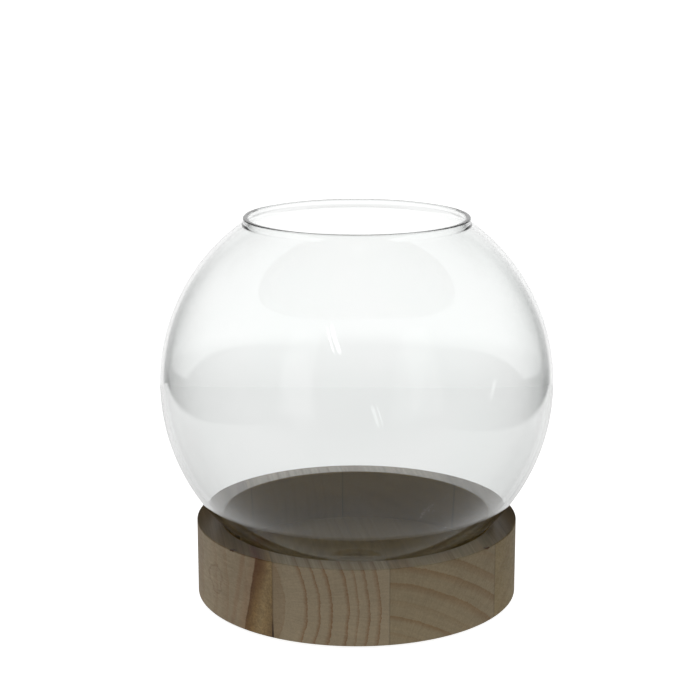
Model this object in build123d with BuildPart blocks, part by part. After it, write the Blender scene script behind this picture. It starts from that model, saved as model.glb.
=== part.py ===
from build123d import *
import os
from math import sqrt

# A blown clear-glass globe with an open mouth, standing in the deep round seat of a turned wooden
# base. The globe rests on its small flat bottom, and the edge of the seat holds it all round.
# The base is a disc cut from an edge-glued panel, so it is four staves side by side, and it stands
# on four felt pads. Millimetres, +Z up, origin at the centre of the pads' underside.
# The boards run along Y, and their glue lines lie at fixed X.

# Felt pads
PAD_RADIUS = 9.0
PAD_THICK = 1.5
PAD_CIRCLE = 62.0  # radius of the circle that the pads' centres lie on
PAD_ANGLES = {"front_right": -45, "back_right": 45, "back_left": 135, "front_left": -135}

# Wooden base
BASE_RADIUS = 82.6
BASE_THICK = 39.0
SEAT_RADIUS = 70.5
SEAT_DEPTH = 28.0
EDGE_BREAK = 0.4
GLUE_LINES = (-51.3, 3.1, 60.7)
STAVE_NAMES = ("base_stave_left_edge", "base_stave_left", "base_stave_right", "base_stave_right_edge")

# Glass globe
GLOBE_RADIUS = 100.0
WALL = 2.0
BOTTOM_THICK = 2.6
HEEL_ROUND = 20.0  # outside, where the small flat bottom turns up into the ball
INNER_HEEL_ROUND = 16.0
SEAT_GAP = 0.35  # from the ball to the edge of the seat
GLOBE_HEIGHT = 184.68
COLLAR_OUTER_RADIUS = 57.0  # the short upright collar round the mouth
COLLAR_INNER_RADIUS = 54.4
NECK_ROUND = 2.0  # outside, where the ball turns up into the collar
THROAT_ROUND = 3.0  # the same place inside
RIM_OUTER_ROUND = 0.8
RIM_INNER_ROUND = 0.8

# Heights that follow
base_top = PAD_THICK + BASE_THICK
seat_floor = base_top - SEAT_DEPTH
globe_centre = base_top + sqrt((GLOBE_RADIUS + SEAT_GAP) ** 2 - SEAT_RADIUS**2)
rim_height = seat_floor + GLOBE_HEIGHT

os.makedirs("parts", exist_ok=True)

# The whole turned disc, which the staves are cut from
with BuildPart() as disc:
    with BuildSketch(Plane.XY.offset(PAD_THICK)):
        Circle(BASE_RADIUS)
    extrude(amount=BASE_THICK)
    with BuildSketch(Plane.XY.offset(base_top)):
        Circle(SEAT_RADIUS)
    extrude(amount=-SEAT_DEPTH, mode=Mode.SUBTRACT)
    outer_edges = disc.edges().filter_by(GeomType.CIRCLE).filter_by(lambda e: e.radius > SEAT_RADIUS + 1)
    seat_edge = disc.edges().filter_by(GeomType.CIRCLE).group_by(Axis.Z)[-1].sort_by(SortBy.RADIUS)[0]
    chamfer(outer_edges + [seat_edge], EDGE_BREAK)

# Four staves, from the left rim of the disc to the right one
stave_sides = (-BASE_RADIUS, *GLUE_LINES, BASE_RADIUS)
for stave_name, left_side, right_side in zip(STAVE_NAMES, stave_sides[:-1], stave_sides[1:]):
    with BuildPart() as stave:
        add(disc.part)
        with Locations(((left_side + right_side) / 2, 0, 0)):
            Box(
                right_side - left_side,
                2 * BASE_RADIUS,
                2 * base_top,
                mode=Mode.INTERSECT,
            )
    stave.part.label = stave_name
    export_step(stave.part, f"parts/{stave_name}.step")

# Four round felt pads under the base
for place, angle in PAD_ANGLES.items():
    with BuildPart() as pad:
        with BuildSketch(Plane.XY):
            with PolarLocations(PAD_CIRCLE, 1, start_angle=angle):
                Circle(PAD_RADIUS)
        extrude(amount=PAD_THICK)
    pad.part.label = f"felt_pad_{place}"
    export_step(pad.part, f"parts/felt_pad_{place}.step")


def ball_width(ball_radius, height):
    """Half width of a ball about the globe's centre at a height."""
    return sqrt(ball_radius**2 - (height - globe_centre) ** 2)


def ball_height(ball_radius, half_width):
    """Height at which a ball about the globe's centre has narrowed to a half width near its top."""
    return globe_centre + sqrt(ball_radius**2 - half_width**2)


# The globe: a ball with a flat bottom, cut open at the top, where a short upright collar with
# rounded edges runs round the mouth. Half of its section is drawn in XZ and turned about Z.
inner_floor = seat_floor + BOTTOM_THICK
inner_radius = GLOBE_RADIUS - WALL
neck_height = ball_height(GLOBE_RADIUS, COLLAR_OUTER_RADIUS)
throat_height = ball_height(inner_radius, COLLAR_INNER_RADIUS)
corners = {
    (ball_width(GLOBE_RADIUS, seat_floor), seat_floor): HEEL_ROUND,
    (ball_width(inner_radius, inner_floor), inner_floor): INNER_HEEL_ROUND,
    (COLLAR_OUTER_RADIUS, neck_height): NECK_ROUND,
    (COLLAR_INNER_RADIUS, throat_height): THROAT_ROUND,
    (COLLAR_OUTER_RADIUS, rim_height): RIM_OUTER_ROUND,
    (COLLAR_INNER_RADIUS, rim_height): RIM_INNER_ROUND,
}
with BuildPart() as glass_globe:
    with BuildSketch(Plane.XZ) as section:
        with Locations((0, globe_centre)):
            Circle(GLOBE_RADIUS)
        with BuildSketch(mode=Mode.SUBTRACT):
            with Locations((0, globe_centre)):
                Circle(inner_radius)
            with Locations((0, inner_floor)):
                Rectangle(
                    2 * GLOBE_RADIUS,
                    2 * GLOBE_RADIUS,
                    align=(Align.CENTER, Align.MIN),
                    mode=Mode.INTERSECT,
                )
        with Locations((0, seat_floor)):
            Rectangle(
                GLOBE_RADIUS,
                rim_height - seat_floor,
                align=(Align.MIN, Align.MIN),
                mode=Mode.INTERSECT,
            )
        with Locations((0, globe_centre)):
            Rectangle(
                COLLAR_INNER_RADIUS,
                GLOBE_RADIUS,
                align=(Align.MIN, Align.MIN),
                mode=Mode.SUBTRACT,
            )
        with Locations((COLLAR_INNER_RADIUS, throat_height)):
            Rectangle(
                COLLAR_OUTER_RADIUS - COLLAR_INNER_RADIUS,
                rim_height - throat_height,
                align=(Align.MIN, Align.MIN),
            )
        for (x, z), rounding in corners.items():
            fillet(section.vertices().sort_by_distance((x, z, 0))[0], rounding)
    revolve(axis=Axis.Z)
glass_globe.part.label = "glass_globe"
export_step(glass_globe.part, "parts/glass_globe.step")
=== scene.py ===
"""Looks of the storm glass: a clear blown globe in the seat of a glued wooden base, in a white studio."""

import math

import bmesh
import bpy
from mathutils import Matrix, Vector, noise


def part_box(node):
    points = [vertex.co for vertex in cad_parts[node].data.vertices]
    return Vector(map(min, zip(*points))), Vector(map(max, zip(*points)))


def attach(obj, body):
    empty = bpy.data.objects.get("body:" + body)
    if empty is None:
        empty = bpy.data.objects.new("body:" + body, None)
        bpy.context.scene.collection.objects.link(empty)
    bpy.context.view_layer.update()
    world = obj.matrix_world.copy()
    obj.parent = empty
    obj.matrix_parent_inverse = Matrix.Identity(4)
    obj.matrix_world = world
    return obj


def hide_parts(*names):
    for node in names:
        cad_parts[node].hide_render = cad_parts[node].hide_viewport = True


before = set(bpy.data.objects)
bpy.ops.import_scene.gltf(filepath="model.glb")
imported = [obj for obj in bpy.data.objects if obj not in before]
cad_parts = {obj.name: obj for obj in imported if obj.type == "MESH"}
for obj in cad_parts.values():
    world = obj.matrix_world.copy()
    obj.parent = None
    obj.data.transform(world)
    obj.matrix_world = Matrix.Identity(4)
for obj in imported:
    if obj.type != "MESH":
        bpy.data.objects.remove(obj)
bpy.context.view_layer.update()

MM = 0.001
MM_PER_METRE = 1000  # the materials work in millimetres

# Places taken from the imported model
globe_low, globe_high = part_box("glass_globe")
stave_boxes = {name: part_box(name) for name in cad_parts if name.startswith("base_stave")}
glue_lines = sorted(MM_PER_METRE * low.x for low, high in stave_boxes.values())[1:]


# ---------------------------------------------------------------- helpers


class Tree:
    """A shader node tree that is written as a list of steps."""

    def __init__(self, owner):
        owner.use_nodes = True
        self.tree = owner.node_tree
        self.tree.nodes.clear()

    def put(self, socket, value):
        if isinstance(value, bpy.types.NodeSocket):
            self.tree.links.new(value, socket)
        else:
            socket.default_value = value

    def add(self, kind, inputs=None, **settings):
        node = self.tree.nodes.new("ShaderNode" + kind)
        for name, value in settings.items():
            setattr(node, name, value)
        for name, value in (inputs or {}).items():
            self.put(node.inputs[name], value)
        return node

    def finish(self, shader, output="OutputMaterial"):
        """The shader put on the tree's output."""
        self.put(self.add(output).inputs["Surface"], shader.outputs[0])

    def math(self, operation, *values):
        return self.add("Math", dict(enumerate(values)), operation=operation).outputs[0]

    def vector(self, operation, *values):
        return self.add("VectorMath", dict(enumerate(values)), operation=operation).outputs[0]

    def dot(self, first, second):
        return self.add("VectorMath", {0: first, 1: second}, operation="DOT_PRODUCT").outputs["Value"]

    def length(self, vector):
        return self.add("VectorMath", {0: vector}, operation="LENGTH").outputs["Value"]

    def combine(self, x, y, z):
        return self.add("CombineXYZ", {"X": x, "Y": y, "Z": z}).outputs[0]

    def split(self, vector):
        return self.add("SeparateXYZ", {"Vector": vector}).outputs

    def place_in_mm(self):
        local = self.add("TexCoord").outputs["Object"]
        return self.vector("MULTIPLY", local, (MM_PER_METRE,) * 3)

    def range(self, value, low, high, to_low=0.0, to_high=1.0, smooth=True):
        """value taken from the range low..high to to_low..to_high, and held past its ends."""
        inputs = {"Value": value, "From Min": low, "From Max": high, "To Min": to_low, "To Max": to_high}
        kind = "SMOOTHSTEP" if smooth else "LINEAR"
        return self.add("MapRange", inputs, interpolation_type=kind).outputs[0]

    def fade(self, angle, limits, to_low, to_high, smooth=True):
        """The same for an angle, with its (low, high) in degrees."""
        low, high = (math.radians(limit) for limit in limits)
        return self.range(angle, low, high, to_low, to_high, smooth)

    def noise(self, position, scale, detail=2.0, roughness=0.5, distortion=0.0):
        inputs = {
            "Vector": position,
            "Scale": scale,
            "Detail": detail,
            "Roughness": roughness,
            "Distortion": distortion,
        }
        return self.add("TexNoise", inputs).outputs[0]

    def grain(self, position, scales, detail=2.0, roughness=0.5, distortion=0.0):
        """Noise with its own scale along each axis."""
        stretched = self.vector("MULTIPLY", position, scales)
        return self.noise(stretched, 1.0, detail, roughness, distortion)

    def blend(self, share, first, second):
        """A number between two others."""
        return self.add("Mix", {"Factor": share, "A": first, "B": second}).outputs[0]

    def mix(self, share, first, second):
        """A colour between two others."""
        node = self.add("Mix", data_type="RGBA")
        for index, value in ((0, share), (6, first), (7, second)):
            self.put(node.inputs[index], value)
        return node.outputs[2]

    def shade(self, colour, factor):
        """colour made lighter or darker by a factor."""
        return self.add("VectorMath", {0: colour, "Scale": factor}, operation="SCALE").outputs[0]

    def swing(self, value, amount):
        """1 for a value of one half, and amount more or less for a value of 1 or 0."""
        return self.math("MULTIPLY_ADD", self.math("SUBTRACT", value, 0.5), 2 * amount, 1.0)


def linear(red, green, blue):
    """A colour given as sRGB bytes, as the linear colour that a shader takes."""
    parts = [channel / 255 for channel in (red, green, blue)]
    return [p / 12.92 if p <= 0.04045 else ((p + 0.055) / 1.055) ** 2.4 for p in parts] + [1.0]


def grey(value):
    return (value, value, value, 1.0)


def new_object(name, data):
    piece = bpy.data.objects.new(name, data)
    bpy.context.scene.collection.objects.link(piece)
    return piece


# ---------------------------------------------------------------- camera

CAMERA_AZIMUTH = math.radians(-9)
CAMERA_OUT = 0.8745
CAMERA_HEIGHT = 0.339
LOOK_HEIGHT = 0.1282
LOOK_LEFT = 0.0034
LENS = 90.9


def make_camera():
    """Sets the camera; gives the level directions towards it and to its right."""
    to_camera = Vector((math.sin(CAMERA_AZIMUTH), -math.cos(CAMERA_AZIMUTH), 0))
    right = Vector((math.cos(CAMERA_AZIMUTH), math.sin(CAMERA_AZIMUTH), 0))
    data = bpy.data.cameras.new("camera")
    data.lens = LENS
    data.clip_start = 0.01
    camera = new_object("camera", data)
    camera.location = to_camera * CAMERA_OUT + Vector((0, 0, CAMERA_HEIGHT))
    target = Vector((0, 0, LOOK_HEIGHT)) - right * LOOK_LEFT
    camera.rotation_euler = (target - camera.location).to_track_quat("-Z", "Y").to_euler()
    bpy.context.scene.camera = camera
    return to_camera, right


# ---------------------------------------------------------------- glass globe

GLASS_SEGMENTS = 300
BALL_STEPS = 130
HEEL_STEPS = 10
NECK_STEPS = 8
RIM_OUT_STEPS = 10
RIM_IN_STEPS = 8
THROAT_STEPS = 6
WALL = 2.0 * MM
BOTTOM_THICK = 2.6 * MM
HEEL_ROUND = 20 * MM  # outside, where the small flat bottom turns up into the ball
INNER_HEEL_ROUND = 16 * MM
PUNT = 0.3 * MM  # height of the slight hollow under the bottom
PUNT_CURVE = ((0.5, 0.7), (0.85, 0.15))  # shares of the foot's radius and of the hollow's height
GLOBE_CENTRE = 111.913 * MM  # height that leaves 0.35 mm between the ball and the corner of the seat
COLLAR_OUT = 57.0 * MM
COLLAR_IN = 54.4 * MM
NECK_ROUND = 2.0 * MM
THROAT_ROUND = 3.0 * MM
RIM_OUT_ROUND = 0.8 * MM
RIM_IN_ROUND = 0.8 * MM
WAVES = 4.0  # faint waves round the ball
WAVE_HEIGHT = 0.05 * MM
WAVE_PLACE = (3.1, 5.7)  # where in the noise the waves are taken
ON_AXIS = 1e-7

FAINT_GREEN = (0.98, 0.993, 0.987, 1.0)
FAINTEST_GREEN = (0.99, 0.997, 0.993, 1.0)
GLASS_IOR = 1.5
RIPPLE_SCALE = (0.02, 0.02, 0.08)
RIPPLE_HEIGHT = 0.02 * MM


def arc(centre, radius, start, end, steps):
    """Points on an arc in the (radius, height) plane, the short way round.

    The angles are in radians from straight out."""
    sweep = math.remainder(end - start, 2 * math.pi)
    turns = [start + sweep * i / steps for i in range(steps + 1)]
    return [(centre[0] + radius * math.cos(t), centre[1] + radius * math.sin(t)) for t in turns]


def bearing(start, end):
    """Angle of the line from one (radius, height) point to another."""
    return math.atan2(end[1] - start[1], end[0] - start[0])


def lathe(name, profile, segments):
    """A mesh turned about Z from (radius, height) points; a point on the axis becomes a pole."""
    mesh = bpy.data.meshes.new(name)
    bm = bmesh.new()
    rings = []
    for radius, height in profile:
        if radius < ON_AXIS:
            rings.append([bm.verts.new((0, 0, height))])
            continue
        ring = []
        for i in range(segments):
            angle = 2 * math.pi * i / segments
            ring.append(bm.verts.new((radius * math.cos(angle), radius * math.sin(angle), height)))
        rings.append(ring)
    for first, second in zip(rings[:-1], rings[1:]):
        for i in range(segments):
            j = (i + 1) % segments
            if len(first) == 1:
                bm.faces.new((first[0], second[i], second[j]))
            elif len(second) == 1:
                bm.faces.new((first[i], second[0], first[j]))
            else:
                bm.faces.new((first[i], second[i], second[j], first[j]))
    bmesh.ops.recalc_face_normals(bm, faces=bm.faces)
    bm.to_mesh(mesh)
    bm.free()
    mesh.shade_smooth()
    return mesh


def globe_profile():
    """Section of the globe from the middle of its underside, up the outside, and down the inside."""
    ball = (globe_high.x - globe_low.x) / 2
    inner = ball - WALL
    bottom = globe_low.z
    floor = bottom + BOTTOM_THICK
    top = globe_high.z
    centre = (0, GLOBE_CENTRE)
    quarter = math.pi / 2

    def heel(radius, height, rounding):
        """Centre of the arc between a ball and the flat that it stands on."""
        up = height + rounding
        return math.sqrt((radius - rounding) ** 2 - (centre[1] - up) ** 2), up

    foot = heel(ball, bottom, HEEL_ROUND)
    inner_foot = heel(inner, floor, INNER_HEEL_ROUND)
    neck_out = COLLAR_OUT + NECK_ROUND
    neck = (neck_out, centre[1] + math.sqrt((ball + NECK_ROUND) ** 2 - neck_out**2))
    throat_out = COLLAR_IN + THROAT_ROUND
    throat = (throat_out, centre[1] + math.sqrt((inner + THROAT_ROUND) ** 2 - throat_out**2))
    rim_out = (COLLAR_OUT - RIM_OUT_ROUND, top - RIM_OUT_ROUND)
    rim_in = (COLLAR_IN + RIM_IN_ROUND, top - RIM_IN_ROUND)

    profile = [(0, bottom + PUNT)]
    profile += [(foot[0] * out, bottom + PUNT * rise) for out, rise in PUNT_CURVE]
    profile += arc(foot, HEEL_ROUND, -quarter, bearing(centre, foot), HEEL_STEPS)
    profile += arc(centre, ball, bearing(centre, foot), bearing(centre, neck), BALL_STEPS)[1:]
    profile += arc(neck, NECK_ROUND, bearing(neck, centre), math.pi, NECK_STEPS)[1:]
    profile += arc(rim_out, RIM_OUT_ROUND, 0, quarter, RIM_OUT_STEPS)
    profile += arc(rim_in, RIM_IN_ROUND, quarter, math.pi, RIM_IN_STEPS)
    profile += arc(throat, THROAT_ROUND, math.pi, bearing(throat, centre), THROAT_STEPS)
    profile += arc(centre, inner, bearing(centre, throat), bearing(centre, inner_foot), BALL_STEPS)[1:]
    profile += arc(inner_foot, INNER_HEEL_ROUND, bearing(centre, inner_foot), -quarter, HEEL_STEPS)[1:]
    profile += [(inner_foot[0] * 0.5, floor), (0, floor)]
    return profile


def make_globe(glass):
    mesh = lathe("globe_glass", globe_profile(), GLASS_SEGMENTS)
    # hand-blown glass is never quite even: faint waves on the ball, none at the mouth or the foot
    centre = Vector((0, 0, GLOBE_CENTRE))
    for vertex in mesh.vertices:
        height = abs(vertex.co.z - GLOBE_CENTRE) / (globe_high.z - GLOBE_CENTRE)
        calm = max(0.0, 1 - height**4)
        out = (vertex.co - centre).normalized()
        wave = noise.noise(out * WAVES + Vector((*WAVE_PLACE, vertex.co.length)))
        vertex.co += out * WAVE_HEIGHT * calm * wave
    globe = new_object("globe_glass", mesh)
    mesh.materials.append(glass)
    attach(globe, "globe")
    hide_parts("glass_globe")


def glass_material():
    """Clear glass with a trace of green: faint clouds in its colour, and a slow ripple."""
    material = bpy.data.materials.new("clear_glass")
    tree = Tree(material)
    place = tree.place_in_mm()
    clouds = tree.range(tree.noise(place, 0.02, 2.0), 0.3, 0.7)
    ripple = tree.grain(place, RIPPLE_SCALE, 1.0)
    bump = tree.add("Bump", {"Height": ripple, "Strength": 0.3, "Distance": RIPPLE_HEIGHT})
    shader = tree.add(
        "BsdfPrincipled",
        {
            "Base Color": tree.mix(clouds, FAINT_GREEN, FAINTEST_GREEN),
            "Roughness": 0.0,
            "Transmission Weight": 1.0,
            "IOR": GLASS_IOR,
            "Normal": bump.outputs[0],
        },
    )
    tree.finish(shader)
    return material


# ---------------------------------------------------------------- wood

# Lengths in mm. Each scale is a noise's, for X, Y and Z: small along Y, the way the grain runs.
WOOD_SWAY = 2.4  # how far the grain wanders across the boards
SWAY_SCALE = (1 / 16, 1 / 90, 1 / 16)
RING_EDGE = 0.22  # over which a ring's dark line ends on its outer side
RING_LINE = 0.45  # width of the dark line
RING_FUZZ = 1.6  # how far a ring's line strays over short lengths
FUZZ_SCALE = (0.8, 0.02, 0.8)
LATE_WOOD = 0.45  # strength of the band before a ring's dark line
FIBRE_SCALE = (0.9, 0.011, 0.9)
PORE_SCALE = (2.6, 0.05, 2.6)
MOTTLE_SCALE = (0.11, 0.016, 0.11)
DOT_SCALE = (1.1, 0.03, 1.1)
END_FIBRE_SWING = 0.32  # how strongly the fibres show in the end grain
PLANED_FIBRE_SWING = 0.75  # and in the planed faces
PORE_SWING = 0.17
MOTTLE_SWING = 0.09
RAY_SWING = 0.15
SIDE_FOOT_PAINTED_LIGHT = (4.0, 1.09)  # height and tone of the side face near its foot; painted light, the face drawn lighter there
SIDE_TOP_PAINTED_SHADE = (34.0, 0.95)  # and near its top; painted shade, the face drawn darker there
TOP_TINT = (0.95, 0.97, 0.94, 1.0)  # the planed faces against the sanded end grain
TOP_SIDE_PAINTED_SHADE = (0.40, 0.335, 0.205, 1.0)  # painted shade: the planed faces drawn darker and browner near the left and right of the disc
TOP_SHADE_SPAN = (46, 68)  # distance from the middle over which the painted shade comes in
PLANED_UP = (0.6, 0.8)  # upward part of the normal from which a face counts as planed
PLANED_GLOSS = 0.55  # roughness of the planed faces against that of the end grain
WOOD_ROUGH = (0.72, 0.56)  # from the darkest fibres to the palest
GRAIN_DEPTH = 0.06 * MM
WOOD_GLUE_WIDTH = 0.6
GLUE_TONE = 0.76
DARK_WOOD = linear(58, 42, 29)
CHIP_WOOD = linear(84, 60, 40)
# painted light: the seat's colour, yellower and brighter than the rest of the wood
SEAT_PAINTED_LIGHT = linear(148, 124, 72)
STAIN_WOOD = linear(104, 80, 50)
SEAT_EDGE = (70.6, 71.0)  # radius at which the seat's painted colour ends
SEAT_LOW_SHADE = (10.0, 0.70)  # height and painted shade near the seat's floor, drawn darker there
SEAT_HIGH_SHADE = (40.0, 1.05)  # and near its edge, drawn a little lighter
SEAT_SHARE = 0.8
SEAT_GRAIN = 0.45  # how much of the wood's figure shows in the seat's painted colour

# The left edge stave's marks
STRIP_FOOT = -64.7  # X of the slanting left side of the curly strip, at the height 0
STRIP_SLANT = 0.135
STRIP_WIDTH = 12.0
STRIP_COLOURS = (
    (0.0, linear(88, 61, 34)),
    (0.22, linear(112, 87, 52)),
    (0.5, linear(124, 104, 71)),
    (0.75, linear(116, 95, 62)),
    (1.0, linear(98, 76, 48)),
)
STRIP_BROWN = linear(84, 54, 27)
STRIP_LINE = linear(98, 58, 30)
CURL_SCALE = (0.62, 0.02, 0.36)
KNOT_AT = (-76.0, 0.0, 21.5)
KNOT_SIZE = (2.4, 900.0, 6.5)
KNOT_LINE = linear(104, 78, 58)

# The opened glue line, widest at the foot
CRACK_HEIGHT = (2.5, 13.0)
CRACK_HALF_WIDTH = 0.42

# Chips on the top edge, as (X, Y, Z)
CHIP_RAGGED = 1.4
LEFT_CHIP_AT = (-69.4, -44.8, 40.6)
LEFT_CHIP_SIZE = (3.0, 1.6, 0.9)
RIGHT_CHIP_AT = (55.9, -60.8, 40.6)
RIGHT_CHIP_SIZE = (2.8, 1.4, 0.9)


def ring_ramp(tree, radius, rings, sharp):
    """Red is the fine dark line at the end of each ring, and Green the late wood before it.

    rings holds (distance from the pith, width of the late wood, strength) from the inside out,
    and sharp is how strongly the fine line shows."""
    stops = []
    for at, width, strength in rings:
        stops.append((at - width, 0.0, 0.0))
        stops.append((at - RING_LINE, 0.3 * strength * sharp, strength))
        stops.append((at, strength * sharp, strength))
        stops.append((at + RING_EDGE, 0.0, 0.0))
    low, high = stops[0][0] - 1, stops[-1][0] + 1
    places = [((at - low) / (high - low), (line, late, 0.0, 1.0)) for at, line, late in stops]
    ramp = colour_ramp(tree, tree.range(radius, low, high, smooth=False), places)
    return tree.add("SeparateColor", {"Color": ramp}).outputs


def colour_ramp(tree, value, stops):
    """A colour looked up along (place, colour) stops, of which the ramp itself has two to begin with."""
    ramp = tree.add("ValToRGB", {"Fac": value})
    elements = ramp.color_ramp.elements
    for index, (place, colour) in enumerate(stops):
        element = elements[index] if index < 2 else elements.new(place)
        element.position = place
        element.color = colour
    return ramp.outputs["Color"]


def painted_face_shade(tree, x, height, planed):
    """Painted shade: the side faces drawn lighter at their foot and darker towards their top, and the planed
    faces darker towards left and right.
    """
    tone = tree.range(height, SIDE_FOOT_PAINTED_LIGHT[0], SIDE_TOP_PAINTED_SHADE[0], SIDE_FOOT_PAINTED_LIGHT[1], SIDE_TOP_PAINTED_SHADE[1], smooth=False)
    painted_height_shade = tree.shade((1, 1, 1), tone)
    painted_top_shade = tree.mix(tree.range(tree.math("ABSOLUTE", x), *TOP_SHADE_SPAN), TOP_TINT, TOP_SIDE_PAINTED_SHADE)
    return tree.mix(planed, painted_height_shade, painted_top_shade)


def paint_seat_shade(tree, place, height, tone, colour):
    """Painted light and shade in the seat: drawn yellower and brighter than the rest for the light that
    reaches it through the glass, and darker towards its floor as painted shade.
    """
    share = tree.range(tree.length(tree.vector("MULTIPLY", place, (1, 1, 0))), *SEAT_EDGE, 1.0, 0.0)
    painted_depth_shade = tree.range(height, SEAT_LOW_SHADE[0], SEAT_HIGH_SHADE[0], SEAT_LOW_SHADE[1], SEAT_HIGH_SHADE[1])
    seat_painted_colour = tree.shade(SEAT_PAINTED_LIGHT[:3], painted_depth_shade)
    figure = tree.shade((1, 1, 1), tree.math("MULTIPLY_ADD", tone, SEAT_GRAIN, 1 - SEAT_GRAIN))
    return tree.mix(tree.math("MULTIPLY", share, SEAT_SHARE), colour, tree.vector("MULTIPLY", seat_painted_colour, figure))


def wood_material(name, body, line, pith, rings, sides, figure=None, sharp=1.0, streaks=0.08):
    """Wood with its grain along Y: pith is the (X, Z) in mm that its rings turn about.

    sides are the X of the glue lines that bound it, figure adds marks to its colour, sharp is the
    strength of the rings' fine lines and streaks that of the streaks between them."""
    material = bpy.data.materials.new(name)
    tree = Tree(material)
    place = tree.place_in_mm()
    x, along, height = tree.split(place)
    slow = tree.vector("MULTIPLY", place, SWAY_SCALE)
    sway = tree.add("TexNoise", {"Vector": slow, "Scale": 1.0, "Detail": 3.0}).outputs["Color"]
    sway = tree.vector("SUBTRACT", sway, (0.5, 0.5, 0.5))
    swayed = tree.vector("MULTIPLY_ADD", sway, (WOOD_SWAY, 0, WOOD_SWAY), place)
    section = tree.vector("MULTIPLY", swayed, (1, 0, 1))
    from_pith = tree.vector("SUBTRACT", section, (pith[0], 0, pith[1]))
    fuzz = tree.math("SUBTRACT", tree.grain(place, FUZZ_SCALE, 3.0, 0.7), 0.5)
    radius = tree.math("MULTIPLY_ADD", fuzz, RING_FUZZ, tree.length(from_pith))
    across = tree.split(from_pith)
    turn = tree.math("ARCTAN2", across["Z"], across["X"])
    normal = tree.add("TexCoord").outputs["Normal"]
    up = tree.math("ABSOLUTE", tree.split(normal)["Z"])
    planed = tree.range(up, *PLANED_UP)

    # the parts of the figure, each a noise about one half
    fibre = tree.grain(place, FIBRE_SCALE, 4.0, 0.62)
    pores = tree.grain(place, PORE_SCALE, 2.0, 0.6)
    mottle = tree.grain(place, MOTTLE_SCALE, 2.0)
    middle_radius = rings[len(rings) // 2][0]
    ray_place = tree.combine(
        tree.math("MULTIPLY", turn, 1.3 * middle_radius),
        tree.math("MULTIPLY", along, 0.02),
        tree.math("MULTIPLY", radius, 0.14),
    )
    rays = tree.noise(ray_place, 1.0, 2.0, 0.5)
    growth_place = tree.combine(
        tree.math("MULTIPLY", radius, 0.7),
        tree.math("MULTIPLY", turn, 3.0),
        0.0,
    )
    growth = tree.noise(growth_place, 1.0, 4.0, 0.65)

    red, green, _ = ring_ramp(tree, radius, rings, sharp)
    dots = tree.range(tree.grain(place, DOT_SCALE, 2.0), 0.32, 0.52, 0.35, 1.0)
    ringed = tree.math("MULTIPLY", red, dots)
    colour = tree.mix(tree.math("MULTIPLY", green, LATE_WOOD), body, line)
    colour = tree.mix(ringed, colour, line)
    fibre_swing = tree.blend(planed, END_FIBRE_SWING, PLANED_FIBRE_SWING)
    tone = tree.math("MULTIPLY_ADD", tree.math("SUBTRACT", fibre, 0.5), fibre_swing, 1.0)
    swings = ((pores, PORE_SWING), (mottle, MOTTLE_SWING), (rays, RAY_SWING), (growth, streaks))
    for value, amount in swings:
        tone = tree.math("MULTIPLY", tone, tree.swing(value, amount))
    if figure:
        colour = figure(tree, place, colour)
    colour = tree.shade(colour, tone)
    # painted shade by height on the side faces, and towards left and right on the planed top
    colour = tree.vector("MULTIPLY", colour, painted_face_shade(tree, x, height, planed))
    # painted light and shade in the seat, darker towards its floor
    colour = paint_seat_shade(tree, place, height, tone, colour)
    for side in sides:
        gap = tree.math("ABSOLUTE", tree.math("SUBTRACT", x, side))
        colour = tree.shade(colour, tree.range(gap, 0.05, WOOD_GLUE_WIDTH, GLUE_TONE, 1.0))

    rough = tree.range(fibre, 0.3, 0.7, *WOOD_ROUGH)
    gloss = tree.range(planed, 0.0, 1.0, 1.0, PLANED_GLOSS, smooth=False)
    rough = tree.math("MULTIPLY", rough, gloss)
    relief = tree.math("MULTIPLY_ADD", pores, 0.6, fibre)
    relief = tree.math("MULTIPLY_ADD", ringed, -0.5, relief)
    bump = tree.add("Bump", {"Height": relief, "Strength": 0.5, "Distance": GRAIN_DEPTH})
    shader = tree.add(
        "BsdfPrincipled",
        {"Base Color": colour, "Roughness": rough, "Normal": bump.outputs[0], "Specular IOR Level": 0.3},
    )
    tree.finish(shader)
    return material


def chip(tree, place, colour, at, size):
    """A ragged dark mark; at and size are (X, Y, Z) in mm."""
    far = tree.vector("DIVIDE", tree.vector("SUBTRACT", place, at), size)
    rough = tree.math("SUBTRACT", tree.grain(place, (0.9, 0.9, 0.9), 3.0), 0.5)
    far = tree.math("MULTIPLY_ADD", rough, CHIP_RAGGED, tree.length(far))
    return tree.mix(tree.range(far, 0.75, 1.1, 1.0, 0.0), colour, CHIP_WOOD)


def crack(tree, place, colour):
    """The opened glue line low on the front."""
    x, y, z = tree.split(place)
    half = tree.range(z, *CRACK_HEIGHT, CRACK_HALF_WIDTH, 0.0, smooth=False)
    gap = tree.math("ABSOLUTE", tree.math("SUBTRACT", x, glue_lines[0]))
    share = tree.math("MULTIPLY", tree.math("LESS_THAN", gap, half), tree.math("LESS_THAN", y, 0.0))
    return tree.mix(share, colour, DARK_WOOD)


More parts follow.
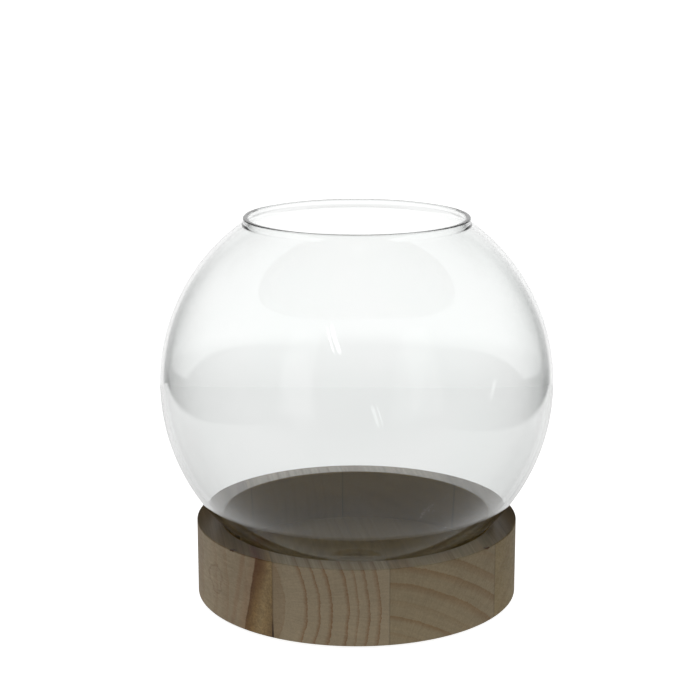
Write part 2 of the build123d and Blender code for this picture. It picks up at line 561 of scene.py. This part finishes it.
def left_edge_figure(tree, place, colour):
    """The curly brown strip beside the first glue line, with a reddish streak, a knot and a chip."""
    x, _, z = tree.split(place)
    # how far a point lies past the strip's slanting left side
    wobble = tree.grain(place, (0.2, 0.01, 0.2), 2.0)
    side = tree.math("ADD", tree.math("MULTIPLY_ADD", z, STRIP_SLANT, STRIP_FOOT), wobble)
    past = tree.math("SUBTRACT", x, side)
    streak = tree.math("ABSOLUTE", tree.math("ADD", past, 5.3))
    colour = tree.mix(tree.range(streak, 0.2, 1.6, 0.42, 0.0), colour, linear(122, 88, 62))
    colour = tree.mix(tree.range(past, -22.0, -4.0, 0.0, 0.4), colour, linear(104, 89, 68))
    colour = tree.mix(tree.range(past, -4.5, -0.2, 0.0, 0.3), colour, linear(122, 88, 60))

    # the strip, browner towards its upper left
    curl = tree.grain(place, CURL_SCALE, 4.0, 0.6, 2.2)
    strip = colour_ramp(tree, tree.range(past, 0.0, STRIP_WIDTH, smooth=False), STRIP_COLOURS)
    strip = tree.shade(strip, tree.range(curl, 0.34, 0.62, 0.74, 1.16, smooth=False))
    upper = tree.math("MULTIPLY", tree.range(z, 12.0, 38.0), tree.range(past, 2.0, 8.0, 0.75, 0.0))
    strip = tree.mix(upper, strip, STRIP_BROWN)
    colour = tree.mix(tree.range(past, -0.25, 0.25), colour, strip)

    # a reddish line on the top face, where the strip begins
    beside = tree.range(tree.math("ABSOLUTE", past), 0.5, 2.6, 0.85, 0.0)
    on_top = tree.math("MULTIPLY", tree.range(z, 40.2, 40.5), beside)
    colour = tree.mix(on_top, colour, STRIP_LINE)

    # the knot's ragged outline
    knot = tree.vector("DIVIDE", tree.vector("SUBTRACT", place, KNOT_AT), KNOT_SIZE)
    ragged = tree.math("SUBTRACT", tree.grain(place, (0.3, 0.01, 0.3), 3.0), 0.5)
    outline = tree.math("MULTIPLY_ADD", ragged, 1.5, tree.length(knot))
    outline = tree.math("ABSOLUTE", tree.math("SUBTRACT", outline, 1.0))
    colour = tree.mix(tree.range(outline, 0.02, 0.2, 0.34, 0.0), colour, KNOT_LINE)
    colour = crack(tree, place, colour)
    return chip(tree, place, colour, LEFT_CHIP_AT, LEFT_CHIP_SIZE)


def left_figure(tree, place, colour):
    """A brown stain beside the first glue line, and the opened line."""
    past = tree.math("SUBTRACT", tree.split(place)["X"], glue_lines[0])
    colour = tree.mix(tree.range(past, 0.0, 6.0, 0.34, 0.0), colour, STAIN_WOOD)
    return crack(tree, place, colour)


def right_figure(tree, place, colour):
    """A chip on the top edge."""
    return chip(tree, place, colour, RIGHT_CHIP_AT, RIGHT_CHIP_SIZE)


def make_woods():
    left, middle, right_side = glue_lines
    return {
        "base_stave_left_edge": wood_material(
            "knotty_wood",
            linear(138, 124, 101),
            linear(120, 88, 60),
            (-400, 20),
            [(319, 3, 0.3), (324.5, 2, 0.25), (329, 3, 0.35), (337, 4, 0.25)],
            [left],
            left_edge_figure,
        ),
        "base_stave_left": wood_material(
            "ringed_wood",
            linear(127, 114, 92),
            linear(102, 71, 40),
            (-90, 19),
            [
                (44.4, 4.5, 0.3),
                (54.5, 2.0, 0.8),
                (60.3, 1.6, 0.75),
                (65.9, 2.0, 0.95),
                (73.6, 2.0, 0.85),
                (78.4, 1.6, 0.5),
                (83.4, 1.8, 0.75),
                (88.8, 2.4, 0.75),
            ],
            [left, middle],
            left_figure,
        ),
        "base_stave_right": wood_material(
            "arched_wood",
            linear(120, 107, 83),
            linear(104, 76, 44),
            (-12, -57),
            [
                (67, 3, 0.35),
                (75.5, 2.5, 1.0),
                (83, 3, 0.3),
                (92, 4, 1.0),
                (101, 4, 1.0),
                (109, 4.5, 0.8),
                (117, 4, 0.4),
            ],
            [middle, right_side],
            right_figure,
            sharp=0.4,
            streaks=0.17,
        ),
        "base_stave_right_edge": wood_material(
            "plain_wood",
            linear(120, 105, 75),
            linear(104, 83, 58),
            (170, -60),
            [(96, 4, 0.3), (104, 4, 0.3), (113, 5, 0.3), (124, 4, 0.3), (136, 4, 0.3)],
            [right_side],
        ),
    }


# ---------------------------------------------------------------- felt

FELT_DARK = linear(70, 67, 63)
FELT_PALE = linear(122, 118, 111)
FELT_NAP = 0.25 * MM


def felt_material():
    """Pressed grey felt: short tangled fibres with a few pale and dark ones."""
    material = bpy.data.materials.new("grey_felt")
    tree = Tree(material)
    place = tree.place_in_mm()
    tangle = tree.noise(place, 1.7, 5.0, 0.7, 2.5)
    clouds = tree.noise(place, 0.35, 2.0)
    colour = tree.mix(tree.range(tangle, 0.35, 0.65), FELT_DARK, FELT_PALE)
    colour = tree.shade(colour, tree.swing(clouds, 0.2))
    bump = tree.add("Bump", {"Height": tangle, "Strength": 0.8, "Distance": FELT_NAP})
    shader = tree.add(
        "BsdfPrincipled",
        {
            "Base Color": colour,
            "Roughness": 0.95,
            "Sheen Weight": 0.3,
            "Specular IOR Level": 0.2,
            "Normal": bump.outputs[0],
        },
    )
    tree.finish(shader)
    return material


# ---------------------------------------------------------------- studio

# The table, in metres from the globe's axis
TABLE_FRONT = 0.55
TABLE_BACK = 0.41
TABLE_LEFT = 0.455
TABLE_RIGHT = 0.39
TABLE_EDGE_FADE = 0.05
TABLE_FAR = -0.20  # distances towards the camera, and the glow there as the glass mirrors it
TABLE_MIDDLE = 0.12
TABLE_NEAR = 0.50
TABLE_FAR_GLOW = 0.88
TABLE_MIDDLE_GLOW = 0.47
TABLE_NEAR_SHARE = 0.25  # of the glow in the middle
TABLE_SEEN_GLOW = 0.49  # as it is seen through the glass
TABLE_CAMERA_GLOW = 0.4  # added where the camera sees it

# The studio that the glass mirrors: limits of its soft edges in degrees
WALL_SIDES = (20, 43)  # the white wall behind the globe, from straight ahead
CEILING_RISE = (0, 28)
CEILING_SIDES = (30, 90)
STUDIO_TOP = (12, 40)
SOFT_BOX_SIDES = (-40, 35)  # two soft boxes behind the camera
SOFT_BOX_HEIGHT = 16
SOFT_BOX_SIZE = (9.5, 23)
SOFT_BOX_GLOW = 0.28
STUDIO_GLOW = 0.02  # in its darkest parts

# Small lamps: (azimuth, elevation), size and slant in degrees, strength, and the share that is lost
# where they are mirrored after the light has passed both walls
SMALL_LAMPS = (
    ((14.9, 37), (1.1, 7.5), -30, 4.0, 0.6),
    ((18.2, 36), (0.5, 6.5), -30, 4.0, 0.6),
    ((-83.9, -1.8), (0.8, 3.8), 32, 1.5, 0.9),
)
SMALL_LAMP_SOFTNESS = 0.4

BOTH_WALLS = 3.5  # a ray that has passed both walls of the glass has passed four surfaces
FORWARD_SHARE = 0.35  # what is kept of light that is mirrored forward after both walls
WOOD_GLOSS_DIRECT = 0.1  # what the wood mirrors where it is seen directly
WOOD_GLOSS_THROUGH = 2.4  # and where it is seen through the ball

# What is seen through the glass: limits in degrees
HORIZON_BELOW = (-14.7, -13.5)
HORIZON_ABOVE = (-13.5, -12.6)
SKY_TOP = (30, 50)
CAMERA_WHITE = 1.2

# What lights the wood: from level to overhead, and from behind the camera to straight ahead
SKY_LIGHT = (0.27, 1.25)
FRONT_LIGHT = (1.2, 0.8)


def lamp(tree, azimuth, elevation, at, size, slant, strength, softness=0.15):
    """Glow of a soft-edged lamp: at and size are (azimuth, elevation) in degrees, slant in degrees."""
    turn = math.radians(slant)
    across = tree.math("SUBTRACT", azimuth, math.radians(at[0]))
    up = tree.math("SUBTRACT", elevation, math.radians(at[1]))
    along = tree.math("MULTIPLY_ADD", across, math.cos(turn), tree.math("MULTIPLY", up, math.sin(turn)))
    over = tree.math("MULTIPLY_ADD", up, math.cos(turn), tree.math("MULTIPLY", across, -math.sin(turn)))
    reach = []
    for distance, half in ((along, size[0]), (over, size[1])):
        half = math.radians(half)
        distance = tree.math("ABSOLUTE", distance)
        reach.append(tree.range(distance, half * (1 - softness), half * (1 + softness), 1.0, 0.0))
    return tree.math("MULTIPLY", tree.math("MULTIPLY", *reach), strength)


def make_world(to_camera, right):
    """White where it is seen, dark at the sides where the glass mirrors it, soft grey where it lights."""
    world = bpy.data.worlds.new("studio")
    bpy.context.scene.world = world
    world.cycles.sampling_method = "NONE"
    tree = Tree(world)
    path = tree.add("LightPath")
    direction = tree.add("TexCoord").outputs["Generated"]
    height = tree.split(direction)["Z"]
    elevation = tree.math("ARCSINE", height)
    ahead = tree.dot(direction, -to_camera)
    aside = tree.dot(direction, right)
    off = tree.math("ABSOLUTE", tree.math("ARCTAN2", aside, ahead))
    behind = tree.math("ARCTAN2", tree.math("MULTIPLY", aside, -1.0), tree.math("MULTIPLY", ahead, -1.0))

    # what is seen through the glass
    below = tree.fade(elevation, HORIZON_BELOW, 0.98, 1.05, smooth=False)
    seen = tree.math("ADD", tree.fade(elevation, HORIZON_ABOVE, 0.0, 0.09), below)
    seen = tree.math("MULTIPLY", seen, tree.fade(elevation, SKY_TOP, 1.0, 0.1))
    white = tree.math("MULTIPLY", path.outputs["Is Camera Ray"], CAMERA_WHITE)
    seen = tree.math("MAXIMUM", seen, white)

    # what the glass mirrors
    wall = tree.fade(off, WALL_SIDES, 1.0, 0.0)
    ceiling = tree.fade(elevation, CEILING_RISE, 0.02, 0.5)
    ceiling = tree.math("MULTIPLY", ceiling, tree.fade(off, CEILING_SIDES, 1.0, 0.2))
    mirrored = tree.math("MAXIMUM", wall, ceiling)
    mirrored = tree.math("MULTIPLY", mirrored, tree.fade(elevation, STUDIO_TOP, 1.0, 0.35))
    for side in SOFT_BOX_SIDES:
        box = lamp(tree, behind, elevation, (side, SOFT_BOX_HEIGHT), SOFT_BOX_SIZE, 0, SOFT_BOX_GLOW)
        mirrored = tree.math("ADD", mirrored, box)
    through = tree.math("GREATER_THAN", path.outputs["Transmission Depth"], BOTH_WALLS)
    forward = tree.math("MULTIPLY", through, tree.math("GREATER_THAN", ahead, 0.0))
    forward = tree.math("MULTIPLY", forward, path.outputs["Is Singular Ray"])
    kept = tree.math("MULTIPLY_ADD", forward, FORWARD_SHARE - 1, 1.0)
    mirrored = tree.math("MULTIPLY", mirrored, kept)
    for at, size, slant, strength, loss in SMALL_LAMPS:
        streak = lamp(tree, behind, elevation, at, size, slant, strength, SMALL_LAMP_SOFTNESS)
        streak = tree.math("MULTIPLY", streak, tree.math("MULTIPLY_ADD", through, -loss, 1.0))
        mirrored = tree.math("ADD", mirrored, streak)
    mirrored = tree.math("ADD", mirrored, STUDIO_GLOW)
    # only the rough wood and felt give rays that aren't singular
    matt = tree.math("SUBTRACT", 1.0, path.outputs["Is Singular Ray"])
    more = WOOD_GLOSS_THROUGH - WOOD_GLOSS_DIRECT
    gloss = tree.math("MULTIPLY_ADD", through, more, WOOD_GLOSS_DIRECT - 1)
    gloss = tree.math("ADD", tree.math("MULTIPLY", matt, gloss), 1.0)
    mirrored = tree.math("MULTIPLY", mirrored, gloss)

    # what lights the wood
    light = tree.range(height, 0.0, 1.0, *SKY_LIGHT, smooth=False)
    light = tree.math("MULTIPLY", light, tree.range(ahead, -1.0, 1.0, *FRONT_LIGHT, smooth=False))

    mirror_share = tree.math("GREATER_THAN", path.outputs["Glossy Depth"], 0.5)
    diffuse_share = tree.math("GREATER_THAN", path.outputs["Diffuse Depth"], 0.5)
    strength = tree.blend(mirror_share, seen, mirrored)
    strength = tree.blend(diffuse_share, strength, light)
    tree.finish(tree.add("Background", {"Color": grey(1.0), "Strength": strength}), "OutputWorld")


def make_table(to_camera, right):
    corners = [
        right * side + to_camera * end
        for side, end in (
            (-TABLE_LEFT, TABLE_FRONT),
            (TABLE_RIGHT, TABLE_FRONT),
            (TABLE_RIGHT, -TABLE_BACK),
            (-TABLE_LEFT, -TABLE_BACK),
        )
    ]
    mesh = bpy.data.meshes.new("studio_table")
    mesh.from_pydata(corners, [], [(0, 1, 2, 3)])
    table = new_object("studio_table", mesh)
    material = bpy.data.materials.new("studio_table")
    tree = Tree(material)
    path = tree.add("LightPath")
    mirror_share = tree.math("GREATER_THAN", path.outputs["Glossy Depth"], 0.5)
    diffuse = tree.add("BsdfDiffuse", {"Color": tree.mix(mirror_share, grey(0.5), grey(0.0))})
    place = tree.add("TexCoord").outputs["Object"]

    # the glow that the glass mirrors, brightest at the far end and gone at the left and right edges
    nearness = tree.dot(place, to_camera)
    mirrored = tree.range(nearness, TABLE_FAR, TABLE_MIDDLE, TABLE_FAR_GLOW, TABLE_MIDDLE_GLOW)
    near_share = tree.range(nearness, TABLE_MIDDLE, TABLE_NEAR, 1.0, TABLE_NEAR_SHARE)
    mirrored = tree.math("MULTIPLY", mirrored, near_share)
    middle = (TABLE_RIGHT - TABLE_LEFT) / 2
    half = (TABLE_RIGHT + TABLE_LEFT) / 2
    to_edge = tree.math("ABSOLUTE", tree.math("SUBTRACT", tree.dot(place, right), middle))
    mirrored = tree.math("MULTIPLY", mirrored, tree.range(to_edge, half - TABLE_EDGE_FADE, half, 1.0, 0.1))

    strength = tree.blend(mirror_share, TABLE_SEEN_GLOW, mirrored)
    strength = tree.math("MULTIPLY_ADD", path.outputs["Is Camera Ray"], TABLE_CAMERA_GLOW, strength)
    glow = tree.add("Emission", {"Color": grey(1.0), "Strength": strength})
    tree.finish(tree.add("AddShader", {0: diffuse.outputs[0], 1: glow.outputs[0]}))
    mesh.materials.append(material)


to_camera, right = make_camera()
glass = glass_material()
make_globe(glass)
finishes = make_woods()
finishes["glass_globe"] = glass
felt = felt_material()
for name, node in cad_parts.items():
    node.data.materials.clear()
    node.data.materials.append(finishes.get(name, felt))
make_world(to_camera, right)
make_table(to_camera, right)
bpy.context.scene.view_settings.view_transform = "Standard"
